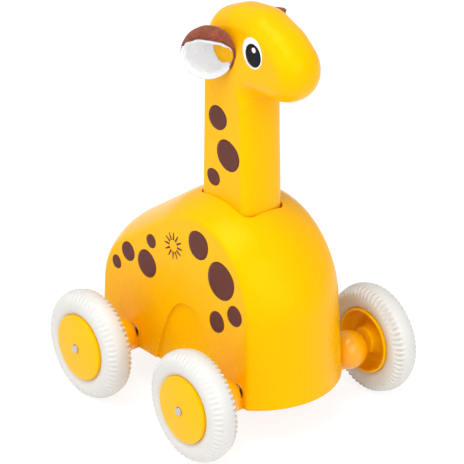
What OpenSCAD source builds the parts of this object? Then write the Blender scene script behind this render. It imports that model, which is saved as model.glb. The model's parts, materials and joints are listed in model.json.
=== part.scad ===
/* [Wheels] */
// Outer diameter of a tyre
wheel_d = 46; // [40:0.5:56]
// Distance between the two axles
wheelbase = 68; // [66:0.5:84]
// Width of a tyre
tyre_w = 12; // [9:0.1:13]
// Diameter of a hub where the tyre sits on it
hub_d = 27.7; // [24:0.1:32]
// Diameter of the steel axles
axle_d = 3.5; // [2.5:0.1:4]

/* [Body] */
// Width of the body along its bottom edge
body_w = 50; // [48:0.5:62]
// How far each flat side leans in, as a slope
side_lean = 0.034; // [0:0.001:0.05]
// Height of the axles above the bottom of the body
axle_rise = 7.8; // [7.5:0.1:10]
// Height of the flat sides at their highest point
side_h = 70; // [68:0.5:84]
// Extra height of the back along the middle
crown_h = 7.7; // [4:0.1:10]
// Extra length of the chest along the middle
chest_bulge = 10.8; // [8:0.1:14]
// Extra length of the rump along the middle
rump_bulge = 10.25; // [8:0.05:14]
// Depth of the leg relief at its rear edge
relief_d = 1.5; // [0.5:0.1:2]

/* [Neck and head] */
// Length of the neck section, front to back
neck_l = 26.9; // [24:0.1:33]
// Width of the neck section, side to side
neck_w = 19.9; // [17:0.1:24]
// Corner radius of the neck section
neck_r = 4; // [2:0.1:6]
// Gap between the neck and its slot
neck_gap = 0.7; // [0.4:0.1:1.2]
// Height of the skull's centre above the bottom of the body
skull_h = 136; // [125:0.5:165]
// Radius of the skull
skull_r = 21.4; // [18:0.1:25]
// Rounding of the head's edges
head_edge_r = 8.5; // [5:0.1:10]
// Outer diameter of a cupped felt ear
ear_d = 21.6; // [18:0.1:24]
// Thickness of one layer of felt
felt_t = 1.1; // [0.8:0.05:1.6]

/* [Drive] */
// How far the neck can be pressed down
stroke = 22; // [16:0.5:24]
// Tooth size of the gears, as pitch diameter over tooth count
gear_m = 0.8; // [0.7:0.05:0.85]
// Teeth on the pinion that the rack turns
rack_pinion_n = 15; // [14:1:16]
// Teeth on the two large wheels
wheel_n = 25; // [23:1:26]
// Teeth on the second pinion and on the axle gear
pinion_n = 12; // [12:1:13]
// Thickness of the chassis plate
plate_t = 3; // [2.8:0.1:3.6]
// Diameter of the spring wire
spring_wire_d = 1.2; // [0.8:0.1:1.6]
// Turns of the return spring
spring_turns = 10; // [7:1:12]

/* [Hidden] */
$fn = 64;
// A cutter reaches this far past the faces that it cuts
over = 1;
// Gap all round between pieces that are fixed together
seat_gap = 0.02;
// Radial clearance of a shaft that turns in a hole
run_gap = 0.05;
// Gap between pieces that pass each other
pass_gap = 0.3;

// Places along the toy, with the middle of its whole length at zero
rear_axle_x = -30;
front_axle_x = rear_axle_x + wheelbase;
neck_x = rear_axle_x + 40.3;
neck_rear = neck_x - neck_l / 2;
neck_front = neck_x + neck_l / 2;
wheel_r = wheel_d / 2;
axle_r = axle_d / 2;
// The pieces above the axles are drawn from the bottom of the body, which stands this high
body_lift = wheel_r - axle_rise;

// Side outline and middle outline of the body, as arcs of [x, z, radius] that a taut band goes round
top_r = 33.5;
rump_r = 27.1;
chest_overhang = 4.5;
top_x = neck_x - 1.3;
rump_x = rear_axle_x + 7;
rump_drop = 13.5;
chest_x = front_axle_x + chest_overhang;
side_arcs = [[top_x, side_h - top_r, top_r], [chest_x - top_r, side_h - top_r, top_r],
    [rump_x, side_h - top_r - rump_drop, rump_r]];
mid_top_r = 42.4;
mid_rump_r = 40;
mid_rump_drop = 3.9;
mid_chest_drop = 2.6;
rump_rear = rump_x - rump_r - rump_bulge;
mid_arcs = [[top_x - 0.8, side_h + crown_h - mid_top_r, mid_top_r],
    [chest_x + chest_bulge - top_r, side_h - top_r - mid_chest_drop, top_r],
    [rump_rear + mid_rump_r, side_h - top_r - rump_drop - mid_rump_drop, mid_rump_r]];
// Steps round the outline, steps across the width, and how round the crown is
outline_step = 5;
width_steps = 16;
crown_round = 0.72;

function reach(arc, a) = arc[0] * cos(a) + arc[1] * sin(a) + arc[2];
function farthest(arcs, a) =
    let (most = max([for (arc = arcs) reach(arc, a)]))
    [for (arc = arcs) if (reach(arc, a) > most - 0.000001) arc][0];
function band_point(arcs, a) =
    let (arc = farthest(arcs, a)) [arc[0] + arc[2] * cos(a), arc[1] + arc[2] * sin(a)];
function half_width(z) = body_w / 2 - side_lean * z;
function chord(u) = sqrt(1 - pow(u * crown_round, 2));
function crown(u) = (chord(u) - chord(1)) / (1 - chord(1));
function shell_point(a, u) =
    let (s = band_point(side_arcs, a), m = band_point(mid_arcs, a), p = s + (m - s) * crown(u))
    [p[0], u * half_width(s[1]), p[1]];
// One slice of the body from the front foot over the back to the rear foot
function foot(p, u, dir) = [p[0] + dir * side_lean * p[2], u * half_width(0), 0];
function shell_ring(u) =
    let (arch = [for (a = [0:outline_step:180]) shell_point(a, u)])
    concat([foot(arch[0], u, 1)], arch, [foot(arch[len(arch) - 1], u, -1)]);

// Neck, plunger and rack, at rest
rack_margin = 4.6;
rack_low = plate_t + stroke + 0.8;
neck_low = rack_low + stroke + 2 * rack_margin;
plunger_t = 5;
plunger_top_gap = 1;
rack_w = 8;
rack_x = neck_rear - 4.85;
rack_back = 6;
press_angle = 25;
tooth_play = 0.15;
pitch = PI * gear_m;
post_x = neck_x + 4.7;
post_r = 4.2;
sleeve_t = 1.1;
sleeve_r = post_r + 0.1 + sleeve_t;
sleeve_l = 23;
spring_r = sleeve_r + 0.5 + spring_wire_d / 2;
post_top = neck_low - plunger_top_gap - stroke - 1;
neck_screw_x = neck_rear + 6.2;
neck_screw_y = 5.2;
neck_screw_r = 1.2;
neck_screw_l = 9;

// Gear centres, as [x, z] above the bottom of the body
rack_pinion_r = gear_m * rack_pinion_n / 2;
first_at = [rack_x - rack_pinion_r, rack_low + rack_margin];
axle_at = [rear_axle_x, axle_rise];
span = first_at - axle_at;
span_d = norm(span);
// Finer teeth need more of them on the large wheels, so that two pairs still bridge the span
bridge_share = 0.97;
large_n = max(wheel_n, ceil(span_d / bridge_share / gear_m - pinion_n));
large_r = gear_m * large_n / 2;
pinion_r = gear_m * pinion_n / 2;
mesh_d = large_r + pinion_r;
off_line = sqrt(mesh_d * mesh_d - span_d * span_d / 4);
second_at = (first_at + axle_at) / 2 + off_line * [-span[1], span[0]] / span_d;
to_second = atan2(second_at[1] - first_at[1], second_at[0] - first_at[0]);
to_axle = atan2(axle_at[1] - second_at[1], axle_at[0] - second_at[0]);
large_tip = large_r + gear_m;
pin_r = 1.5;
boss_r = 3.2;
// Places of the gears across the toy: first large wheel on the left, second on the right
left_from = 5.4;
gear_w = 3.6;
right_to = -5.7;
plate_in = 11.2;
side_plate_t = 2;
end_play = 0.2;
drum_r = 6;
drum_w = 5;
drum_wall = 0.9;
ratchet_d = 0.8;
ratchet_n = 12;

// Pocket, chassis and what fastens them
arm_half_w = axle_r + 1.45;
arm_gap = 0.5;
arm_h = axle_rise - axle_r - 1.25;
foot_l = 5.2;
foot_t = 2;
foot_w = 3.2;
foot_x = [rear_axle_x - arm_half_w - 1.2 - foot_l, first_at[0]];
small_screw_r = 0.9;
small_head_r = 1.5;
small_head_t = 1.1;
gear_room = 1.5;
pocket_half_w = 17;
pocket_rear = min(second_at[0] - large_tip, foot_x[0]) - gear_room;
pocket_front = neck_front + 6.25;
ledge = 2.7;
plate_rear = pocket_rear - 6;
plate_front = front_axle_x + 5.5;
plate_half_w = pocket_half_w + ledge;
ball_r = 8.1;
ball_drop = 1.5;
ball_gap = 0.2;
ball_y = body_w / 2 + ball_gap + ball_r;
ball_end = ball_y + ball_r - 0.2;
hub_in_y = ball_end + pass_gap;
rear_arm_in = plate_in + side_plate_t + 0.6;
gear_sump = 1.4;
chassis_screw_at = [[plate_rear + 3, 12], [plate_rear + 3, -12], [front_axle_x - 6, 12],
    [front_axle_x - 6, -12]];
screw_r = 1.3;
screw_head_r = 2.7;
screw_head_t = 1.5;
chassis_screw_l = 11;

// Hub and tyre, measured out from the middle of the wheel
hub_in = -5.3;
wheel_y = hub_in_y - hub_in;
hub_r = hub_d / 2;
rim_t = 1.1;
rim_half_w = tyre_w / 2;
hub_boss_r = 5.5;
web_in = 0.5;
dome_edge = rim_half_w + 0.5;
dome_rise = 0.9;
dome_round = 0.6;
boss_flare = 4;
boss_step = 0.8;
axle_proud = 0.8;
axle_end = wheel_y + dome_edge + dome_rise + axle_proud;
dome_steps = 6;
tyre_r = wheel_r - hub_r - seat_gap;
tyre_mid_r = wheel_r - tyre_r * 0.62;

// Head and ears
head_half_w = neck_w / 2 + 0.45;
// The back of the head follows the skull's round, and the jaw runs level under the snout
skull_in = skull_r * 0.35;
skull_at = [neck_x + 5.7, skull_h];
skull_discs = [for (a = [90, 135, 180]) concat(skull_at + skull_in * [cos(a), sin(a)], skull_r - skull_in)];
brow = [neck_x + 15, skull_h + 4.7, skull_r - 4.8];
snout = [neck_x + 26.4, skull_h + 2.3, skull_r - 8];
// An ear is a hollow ball that stands this far out of the head's side, with its mouth cut off slantwise
ear_x = neck_x + 0.4;
ear_z = skull_h + 4.1;
ear_r = ear_d / 2;
ear_out = ear_r * 0.63;
ear_sink = 0.6;
mouth_at = ear_r / 3;
mouth_turn = 39;
mouth_droop = 18.8;

// Moves a piece from the bottom of the body to its height above the ground
module raised() {
    translate([0, 0, body_lift]) children();
}

// Turns a shape drawn in the flat so that it lies in the toy's side view, at y, growing to the right
module side_on(y = 0) {
    translate([0, y, 0]) rotate([90, 0, 0]) children();
}

// A round bar across the toy
module cross_bar(at, r, y0, y1) {
    translate([at[0], y1, at[1]]) rotate([90, 0, 0]) cylinder(r = r, h = y1 - y0);
}

// Rectangle with round corners
module round_rect(l, w, r) {
    polygon([for (c = [[1, 1, 0], [-1, 1, 90], [-1, -1, 180], [1, -1, 270]])
        for (a = [0:15:90])
            [c[0] * (l / 2 - r) + r * cos(a + c[2]), c[1] * (w / 2 - r) + r * sin(a + c[2])]]);
}

// Half the angle that an involute tooth covers, at a roll angle in radians
function flank(n, roll) =
    let (r = gear_m * n / 2, half = (pitch - tooth_play * 2) / (4 * r) * 180 / PI)
    half + tan(press_angle) * 180 / PI - press_angle - (roll * 180 / PI - atan(roll));

// Toothed wheel outline with a tooth that points along turn
module gear_outline(n, turn) {
    r = gear_m * n / 2;
    base = r * cos(press_angle);
    root = r - 1.25 * gear_m;
    tip_roll = sqrt(pow((r + gear_m) / base, 2) - 1);
    side = concat([[root, flank(n, 0)]],
        [for (k = [0:4]) [base * sqrt(1 + pow(tip_roll * k / 4, 2)), flank(n, tip_roll * k / 4)]]);
    last = len(side) - 1;
    rotate(turn) polygon([for (t = [0:n - 1]) for (dir = [-1, 1]) for (k = [0:last])
        let (p = side[dir < 0 ? k : last - k], a = t * 360 / n + dir * p[1])
        p[0] * [cos(a), sin(a)]]);
}

module toothed(at, n, turn, y0, y1) {
    translate([at[0], y1, at[1]]) rotate([90, 0, 0]) linear_extrude(y1 - y0) gear_outline(n, turn);
}

// A screw that stands on its head, with a slot for the driver
module screw(r, l, head_r, head_t) {
    difference() {
        union() {
            cylinder(r = head_r, h = head_t);
            translate([0, 0, head_t]) cylinder(r = r, h = l);
        }
        translate([-head_r - over, -0.3, -over]) cube([2 * (head_r + over), 0.6, over + head_t / 2]);
    }
}

module shell_solid() {
    rings = [for (k = [0:width_steps]) shell_ring(2 * k / width_steps - 1)];
    n = len(rings[0]);
    points = [for (ring = rings) each ring];
    skin = [for (k = [0:width_steps - 1]) for (i = [0:n - 2])
        let (a = k * n + i, b = a + n) each [[a, a + 1, b], [a + 1, b + 1, b]]];
    bottom = [for (k = [0:width_steps - 1]) let (a = k * n) [a + n - 1, a, a + n, a + 2 * n - 1]];
    right = [for (i = [n - 1:-1:0]) i];
    left = [for (i = [0:n - 1]) width_steps * n + i];
    polyhedron(points, concat(skin, bottom, [right, left]));
}

// Leg relief in the right side: an arch whose floor runs out to nothing towards the front
relief_half_w = 20.2;
relief_h = 31.3;
relief_x = neck_x - 5.3;
relief_steps = 20;
module leg_relief() {
    front = relief_x + relief_half_w;
    arch = [for (k = [-relief_steps:relief_steps]) let (t = k / relief_steps)
        [relief_half_w * (t - 1), relief_h * (1 - pow(abs(t), 2.5))]];
    translate([front, -body_w / 2, 0])
        rotate([-atan(side_lean), 0, -atan(relief_d / (2 * relief_half_w))])
            side_on() linear_extrude(4 * relief_d)
                polygon(concat(arch, [[0, -over], [-2 * relief_half_w, -over]]));
}

module axle_notch(x) {
    r = arm_half_w + arm_gap;
    high = axle_rise - ball_drop;
    cross_bar([x, high], r, -body_w, body_w);
    translate([x - r, -body_w, -over]) cube([2 * r, 2 * body_w, high + over]);
}

module body_shell() {
    roof = neck_low + gear_room;
    pocket = [[pocket_rear, -over], [pocket_rear, second_at[1] + large_tip + gear_room],
        [first_at[0] - large_tip * 0.6, first_at[1] + large_tip + gear_room],
        [neck_rear - 8, roof], [neck_front + 3, roof], [pocket_front, first_at[1]],
        [pocket_front, -over]];
    color("gold") raised() difference() {
        shell_solid();
        for (dir = [0, 1]) mirror([0, dir, 0]) leg_relief();
        side_on(pocket_half_w) linear_extrude(2 * pocket_half_w) polygon(pocket);
        translate([neck_x, 0, roof - over]) linear_extrude(side_h)
            round_rect(neck_l + 2 * neck_gap, neck_w + 2 * neck_gap, neck_r - neck_gap);
        translate([plate_rear - pass_gap, -plate_half_w - pass_gap, -over])
            cube([plate_front - plate_rear + 2 * pass_gap, 2 * (plate_half_w + pass_gap), over + plate_t]);
        for (x = [rear_axle_x, front_axle_x]) axle_notch(x);
        for (at = chassis_screw_at) translate([at[0], at[1], 0])
            cylinder(r = screw_r + seat_gap, h = chassis_screw_l + screw_head_t + seat_gap);
    }
}

// A round lozenge of the head, seen from the side as a disc
module head_disc(disc) {
    flat = disc[2] - head_edge_r;
    outline = concat([[0, -head_half_w]],
        [for (a = [-90:18:90]) [flat + head_edge_r * cos(a),
            sign(a) * (head_half_w - head_edge_r) + head_edge_r * sin(a)]], [[0, head_half_w]]);
    translate([disc[0], 0, disc[1]]) rotate([90, 0, 0]) rotate_extrude($fn = 48) polygon(outline);
}

// The wall of an ear's ball on the right, down to a depth in the head's side
module ear_ball(r_out, r_in, depth) {
    reach = 4 * ear_d;
    translate([ear_x, -head_half_w - ear_out, ear_z]) difference() {
        rotate([90, 0, 0]) sphere(r = r_out);
        rotate([90, 0, 0]) sphere(r = r_in);
        translate([-reach / 2, ear_out + depth, -reach / 2]) cube(reach);
    }
}

module neck_and_head() {
    color("gold") raised() difference() {
        union() {
            translate([neck_x, 0, neck_low]) linear_extrude(skull_h - neck_low)
                round_rect(neck_l, neck_w, neck_r);
            hull() for (disc = concat(skull_discs, [brow, snout])) head_disc(disc);
        }
        for (dir = [0, 1]) mirror([0, dir, 0])
            ear_ball(ear_r + seat_gap, ear_r - 2 * felt_t - 2 * seat_gap, ear_sink + seat_gap);
        for (y = [-neck_screw_y, neck_screw_y]) translate([neck_screw_x, y, neck_low - over])
            cylinder(r = neck_screw_r + seat_gap, h = neck_screw_l - plunger_t + over + seat_gap);
    }
}

// One layer of the right ear, whose mouth opens forwards, outwards and down
module ear_layer(r_out, r_in) {
    reach = 4 * ear_d;
    raised() difference() {
        ear_ball(r_out, r_in, ear_sink);
        translate([ear_x, -head_half_w - ear_out, ear_z]) rotate([0, 90 + mouth_droop, -mouth_turn])
            translate([-reach / 2, -reach / 2, mouth_at]) cube(reach);
    }
}

module ear_felt_right() {
    color("saddlebrown") ear_layer(ear_r, ear_r - felt_t);
}

module ear_felt_left() {
    mirror([0, 1, 0]) ear_felt_right();
}

module ear_lining_right() {
    color("white") ear_layer(ear_r - felt_t - seat_gap, ear_r - 2 * felt_t - seat_gap);
}

module ear_lining_left() {
    mirror([0, 1, 0]) ear_lining_right();
}

// Rack teeth that point to the rear, with a gap level with the first gear
module rack_outline() {
    half = pitch / 4 - tooth_play / 2;
    slope = tan(press_angle);
    tip = rack_x - gear_m;
    root = rack_x + 1.25 * gear_m;
    first = ceil((rack_low - first_at[1]) / pitch);
    last = floor((neck_low - first_at[1]) / pitch) - 1;
    teeth = [for (k = [first:last]) let (z = first_at[1] + pitch * (k + 0.5))
        each [[root, z - half - 1.25 * gear_m * slope], [tip, z - half + gear_m * slope],
            [tip, z + half - gear_m * slope], [root, z + half + 1.25 * gear_m * slope]]];
    polygon(concat([[root, rack_low]], teeth, [[root, neck_low], [root + rack_back, neck_low],
        [root + rack_back, rack_low]]));
}

module plunger() {
    under = neck_low - plunger_t;
    front = post_x + spring_r + spring_wire_d;
    color("orange") raised() difference() {
        union() {
            translate([neck_rear + 0.65, -8, under]) cube([front - neck_rear - 0.65, 16, plunger_t]);
            translate([post_x, 0, neck_low - plunger_t - sleeve_l])
                cylinder(r = sleeve_r, h = sleeve_l + plunger_t / 2);
            side_on(rack_w / 2) linear_extrude(rack_w) rack_outline();
        }
        translate([post_x, 0, under - sleeve_l - over])
            cylinder(r = post_r + 0.1, h = sleeve_l + plunger_t - plunger_top_gap + over);
        for (y = [-neck_screw_y, neck_screw_y]) translate([neck_screw_x, y, under - over])
            cylinder(r = neck_screw_r + seat_gap, h = plunger_t + 2 * over);
    }
}

module neck_screws() {
    color("silver") raised() for (y = [-neck_screw_y, neck_screw_y])
        translate([neck_screw_x, y, neck_low - plunger_t - small_head_t])
            screw(neck_screw_r, neck_screw_l, neck_screw_r + 0.9, small_head_t);
}

// Return spring: one round wire wound about the guide post
spring_sides = 6;
spring_rings = 8;
spring_low = plate_t + spring_wire_d / 2 + run_gap;
spring_high = neck_low - plunger_t - spring_wire_d / 2 - run_gap;
spring_pitch = (spring_high - spring_low) / spring_turns;
echo(least_gap_between_spring_turns = spring_pitch - spring_wire_d);
module return_spring() {
    steps = spring_turns * spring_rings;
    points = [for (k = [0:steps]) for (j = [0:spring_sides - 1])
        let (a = k * 360 / spring_rings, b = j * 360 / spring_sides,
            r = spring_r + spring_wire_d / 2 * cos(b))
        [post_x + r * cos(a), r * sin(a),
            spring_low + spring_pitch * k / spring_rings + spring_wire_d / 2 * sin(b)]];
    tube = [for (k = [0:steps - 1]) for (j = [0:spring_sides - 1])
        let (a = k * spring_sides + j, b = k * spring_sides + (j + 1) % spring_sides)
        each [[a, a + spring_sides, b], [b, a + spring_sides, b + spring_sides]]];
    ends = [for (j = [1:spring_sides - 2]) each [[0, j, j + 1],
        [steps * spring_sides, steps * spring_sides + j + 1, steps * spring_sides + j]]];
    color("silver") raised() polyhedron(points, concat(tube, ends));
}

// A ball-ended axle carrier on the right side of the chassis
module carrier_ball(x) {
    intersection() {
        translate([x, -ball_y, axle_rise - ball_drop]) sphere(r = ball_r);
        translate([x - 2 * ball_r, -ball_end, -3 * ball_r]) cube([4 * ball_r, ball_r * 3, 6 * ball_r]);
    }
}

// The arm under an axle, from the plate out to a ball
module carrier_arm(x, y0, y1) {
    translate([x - arm_half_w, y0, 0]) cube([2 * arm_half_w, y1 - y0, arm_h]);
}

module chassis() {
    color("goldenrod") raised() difference() {
        union() {
            translate([plate_rear, -plate_half_w, 0])
                cube([plate_front - plate_rear, 2 * plate_half_w, plate_t]);
            translate([post_x, 0, 0]) cylinder(r = post_r, h = post_top);
            carrier_arm(front_axle_x, -ball_y, ball_y);
            carrier_arm(rear_axle_x, -ball_y, -rear_arm_in);
            carrier_arm(rear_axle_x, rear_arm_in, ball_y);
            for (x = [rear_axle_x, front_axle_x]) for (dir = [0, 1]) mirror([0, dir, 0]) carrier_ball(x);
        }
        for (x = [rear_axle_x, front_axle_x])
            cross_bar([x, axle_rise], axle_r + run_gap, -ball_end - over, ball_end + over);
        translate([rear_axle_x - drum_r - 1, -plate_in, gear_sump])
            cube([2 * drum_r + 2, plate_in + 2, plate_t]);
        for (at = chassis_screw_at) translate([at[0], at[1], -over]) {
            cylinder(r = screw_r + seat_gap, h = plate_t + 2 * over);
            cylinder(r = screw_head_r + pass_gap, h = screw_head_t + over);
        }
        for (x = foot_x) for (dir = [-1, 1])
            translate([x + foot_l / 2, dir * (plate_in + side_plate_t + foot_w / 2), 0.6])
                cylinder(r = small_screw_r + seat_gap, h = plate_t);
    }
}

module chassis_screws() {
    color("silver") raised() for (at = chassis_screw_at) translate([at[0], at[1], 0])
        screw(screw_r, chassis_screw_l, screw_head_r, screw_head_t);
}

// A side plate of the gearbox with its feet, drawn on the right
module side_plate() {
    rear = foot_x[0];
    front = foot_x[1] + foot_l;
    raised() difference() {
        union() {
            side_on(-plate_in) linear_extrude(side_plate_t) polygon([[rear, plate_t],
                [rear, axle_rise + 6], [second_at[0] - 7, second_at[1] + 5],
                [first_at[0] - 4, first_at[1] + 6], [front, first_at[1] + 3], [front, plate_t]]);
            for (x = foot_x) translate([x, -plate_in - side_plate_t - foot_w, plate_t])
                cube([foot_l, foot_w + side_plate_t / 2, foot_t]);
        }
        for (at = [first_at, second_at])
            cross_bar(at, pin_r + seat_gap, -plate_in - side_plate_t - over, -plate_in + over);
        cross_bar(axle_at, axle_r + pass_gap, -plate_in - side_plate_t - over, -plate_in + over);
        for (x = foot_x) translate([x + foot_l / 2, -plate_in - side_plate_t - foot_w / 2, plate_t - over])
            cylinder(r = small_screw_r + seat_gap, h = foot_t + 2 * over);
    }
}

module gearbox_plate_right() {
    color("whitesmoke") side_plate();
}

module gearbox_plate_left() {
    color("whitesmoke") mirror([0, 1, 0]) side_plate();
}

module gearbox_screws() {
    color("silver") raised() for (x = foot_x) for (dir = [-1, 1])
        translate([x + foot_l / 2, dir * (plate_in + side_plate_t + foot_w / 2),
            plate_t + foot_t + small_head_t])
            mirror([0, 0, 1]) screw(small_screw_r, foot_t + plate_t - 1, small_head_r, small_head_t);
}

module gear_pins() {
    color("silver") raised() for (at = [first_at, second_at])
        cross_bar(at, pin_r, -plate_in - side_plate_t, plate_in + side_plate_t);
}

module first_gear() {
    color("white") raised() difference() {
        union() {
            cross_bar(first_at, boss_r, -plate_in + end_play, plate_in - end_play);
            toothed(first_at, rack_pinion_n, 0, -rack_w / 2 - 0.6, left_from);
            toothed(first_at, large_n, to_second, left_from, left_from + gear_w);
        }
        cross_bar(first_at, pin_r + run_gap, -plate_in, plate_in);
    }
}

module second_gear() {
    color("white") raised() difference() {
        union() {
            cross_bar(second_at, boss_r, -plate_in + end_play, plate_in - end_play);
            toothed(second_at, pinion_n, to_second + 180 + 180 / pinion_n, left_from - 0.2,
                left_from + gear_w + 0.2);
            toothed(second_at, large_n, to_axle, right_to - gear_w, right_to);
        }
        cross_bar(second_at, pin_r + run_gap, -plate_in, plate_in);
    }
}

// Inside of the freewheel drum: saw teeth that the pawls catch in one direction
module ratchet_outline() {
    root = drum_r - drum_wall;
    polygon([for (t = [0:ratchet_n - 1]) for (k = [0:4])
        let (a = (t + k / 5) * 360 / ratchet_n, r = root - ratchet_d * k / 4) r * [cos(a), sin(a)]]);
}

module axle_gear() {
    gear_y = right_to - gear_w - 0.2;
    drum_y = right_to + 0.2;
    color("white") raised() difference() {
        union() {
            cross_bar(axle_at, boss_r, -plate_in + end_play, drum_y);
            toothed(axle_at, pinion_n, to_axle + 180 + 180 / pinion_n, gear_y, drum_y);
            cross_bar(axle_at, drum_r, drum_y, drum_y + drum_w);
        }
        cross_bar(axle_at, axle_r + run_gap, -plate_in, drum_y + drum_w);
        translate([axle_at[0], drum_y + drum_w + over, axle_at[1]]) rotate([90, 0, 0])
            linear_extrude(drum_w - 1 + over) ratchet_outline();
    }
}

// Collar on the rear axle with two springy pawls, drawn lifted clear of the ratchet teeth
pawl_reach = drum_r - drum_wall - ratchet_d - 0.2;
pawl_t = 0.8;
module pawl_outline() {
    circle(r = axle_r + 1);
    for (turn = [0, 180]) rotate(turn) polygon(concat(
        [for (a = [0:20:120]) (axle_r + 0.9 + (pawl_reach - axle_r - 0.9) * a / 120) * [cos(a), sin(a)]],
        [for (a = [120:-20:0]) (axle_r + 0.9 - pawl_t
            + (pawl_reach - axle_r - 0.9) * a / 120) * [cos(a), sin(a)]]));
}

module pawl_hub() {
    y0 = right_to + 0.2 + 1 + pass_gap;
    y1 = right_to + 0.2 + drum_w - pass_gap;
    color("orange") raised() difference() {
        union() {
            translate([axle_at[0], y1, axle_at[1]]) rotate([90, 0, 0])
                linear_extrude(y1 - y0) pawl_outline();
            cross_bar(axle_at, axle_r + 1, y0, plate_in - end_play);
        }
        cross_bar(axle_at, axle_r + seat_gap, y0 - over, plate_in);
    }
}

module axle(x) {
    color("silver") raised() cross_bar([x, axle_rise], axle_r, -axle_end, axle_end);
}

module rear_axle() {
    axle(rear_axle_x);
}

module front_axle() {
    axle(front_axle_x);
}

// A hub on the right: a deep dish inside, a shallow dome outside
module hub(x) {
    edge = hub_r - rim_t;
    dome_r = hub_r - dome_round;
    dome = [for (k = [0:dome_steps]) let (r = dome_r - (dome_r - axle_r - seat_gap) * k / dome_steps)
        [r, dome_edge + dome_rise * (1 - pow(r / dome_r, 2))]];
    flare = [for (a = [0:22.5:90]) [hub_boss_r + boss_flare * (1 - cos(a)),
        web_in - (web_in - hub_in - boss_step) * (1 - sin(a))]];
    color("gold") translate([x, -wheel_y, wheel_r]) rotate([90, 0, 0]) rotate_extrude()
        polygon(concat([[axle_r + seat_gap, hub_in], [hub_boss_r, hub_in]], flare,
            [[edge - 0.4, web_in], [edge, -rim_half_w], [hub_r, -rim_half_w],
            [hub_r, dome_edge - dome_round]], dome));
}

module hub_rear_right() {
    hub(rear_axle_x);
}

module hub_rear_left() {
    mirror([0, 1, 0]) hub(rear_axle_x);
}

module hub_front_right() {
    hub(front_axle_x);
}

module hub_front_left() {
    mirror([0, 1, 0]) hub(front_axle_x);
}

// A round-shouldered tyre on the right
module tyre(x) {
    high = wheel_r - tyre_mid_r;
    open = acos((hub_r + seat_gap - tyre_mid_r) / high);
    color("snow") translate([x, -wheel_y, wheel_r]) rotate([90, 0, 0]) rotate_extrude()
        polygon([for (k = [-10:10]) let (a = open * k / 10)
            [tyre_mid_r + high * cos(a), tyre_w / 2 * sin(a)]]);
}

module tyre_rear_right() {
    tyre(rear_axle_x);
}

module tyre_rear_left() {
    mirror([0, 1, 0]) tyre(rear_axle_x);
}

module tyre_front_right() {
    tyre(front_axle_x);
}

module tyre_front_left() {
    mirror([0, 1, 0]) tyre(front_axle_x);
}

body_shell();
neck_and_head();
ear_felt_right();
ear_felt_left();
ear_lining_right();
ear_lining_left();
plunger();
neck_screws();
return_spring();
chassis();
chassis_screws();
gearbox_plate_right();
gearbox_plate_left();
gearbox_screws();
gear_pins();
first_gear();
second_gear();
axle_gear();
pawl_hub();
rear_axle();
front_axle();
hub_rear_right();
hub_rear_left();
hub_front_right();
hub_front_left();
tyre_rear_right();
tyre_rear_left();
tyre_front_right();
tyre_front_left();
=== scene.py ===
import json
from math import acos, atan2, cos, degrees, pi, radians, sin, sqrt, tau
from random import Random

import bmesh
import bpy
from mathutils import Matrix, Vector, noise
from mathutils.bvhtree import BVHTree

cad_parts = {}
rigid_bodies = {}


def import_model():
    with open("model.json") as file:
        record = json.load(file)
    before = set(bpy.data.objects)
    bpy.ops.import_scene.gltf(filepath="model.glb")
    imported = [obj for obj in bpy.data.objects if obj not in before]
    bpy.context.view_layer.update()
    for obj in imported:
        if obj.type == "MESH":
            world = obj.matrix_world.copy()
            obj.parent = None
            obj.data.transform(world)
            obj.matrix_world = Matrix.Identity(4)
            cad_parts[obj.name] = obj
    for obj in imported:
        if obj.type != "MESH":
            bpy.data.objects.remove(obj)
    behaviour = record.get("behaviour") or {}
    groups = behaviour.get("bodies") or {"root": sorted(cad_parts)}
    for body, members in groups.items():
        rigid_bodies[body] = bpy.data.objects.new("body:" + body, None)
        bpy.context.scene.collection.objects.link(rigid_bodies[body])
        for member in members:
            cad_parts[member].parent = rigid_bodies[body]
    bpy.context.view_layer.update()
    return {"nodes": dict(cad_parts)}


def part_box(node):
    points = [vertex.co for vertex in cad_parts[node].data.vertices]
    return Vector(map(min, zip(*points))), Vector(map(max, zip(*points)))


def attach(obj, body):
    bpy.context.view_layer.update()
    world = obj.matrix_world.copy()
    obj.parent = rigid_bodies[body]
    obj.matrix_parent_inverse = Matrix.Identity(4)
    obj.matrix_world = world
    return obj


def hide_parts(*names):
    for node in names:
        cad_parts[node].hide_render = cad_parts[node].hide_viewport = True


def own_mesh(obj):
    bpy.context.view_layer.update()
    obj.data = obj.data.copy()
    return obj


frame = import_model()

mm = 0.001
scene = bpy.context.scene
scene.view_settings.view_transform = "Standard"
print("frame loaded,", len(frame["nodes"]), "nodes")


# camera

shot = {
    "azimuth": 51.0,
    "elevation": 25.2,
    "distance": 1.172,
    "target": (0.004, 0.0, 0.0718),
    "lens": 226.32,
    "sensor": 36.0,
    "clip": (0.05, 20.0),
}


def aimCamera():
    turn, rise = radians(shot["azimuth"]), radians(shot["elevation"])
    data = bpy.data.cameras.new("shotCamera")
    data.lens, data.sensor_width = shot["lens"], shot["sensor"]
    data.clip_start, data.clip_end = shot["clip"]
    camera = bpy.data.objects.new("shotCamera", data)
    away = Vector((cos(rise) * sin(turn), -cos(rise) * cos(turn), sin(rise)))
    camera.location = Vector(shot["target"]) + away * shot["distance"]
    camera.rotation_euler = (pi / 2 - rise, 0, turn)
    scene.collection.objects.link(camera)
    scene.camera = camera


aimCamera()
print("camera placed")


# mesh helpers, all working in millimetres until a piece is finished

def looseObject(name, bm):
    mesh = bpy.data.meshes.new(name)
    bm.to_mesh(mesh)
    bm.free()
    obj = bpy.data.objects.new(name, mesh)
    scene.collection.objects.link(obj)
    return obj


def tidyNormals(bm, merge=0.0005):
    bmesh.ops.remove_doubles(bm, verts=bm.verts, dist=merge)
    bmesh.ops.recalc_face_normals(bm, faces=bm.faces)


def dropObject(obj):
    mesh = obj.data
    bpy.data.objects.remove(obj)
    bpy.data.meshes.remove(mesh)


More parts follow.
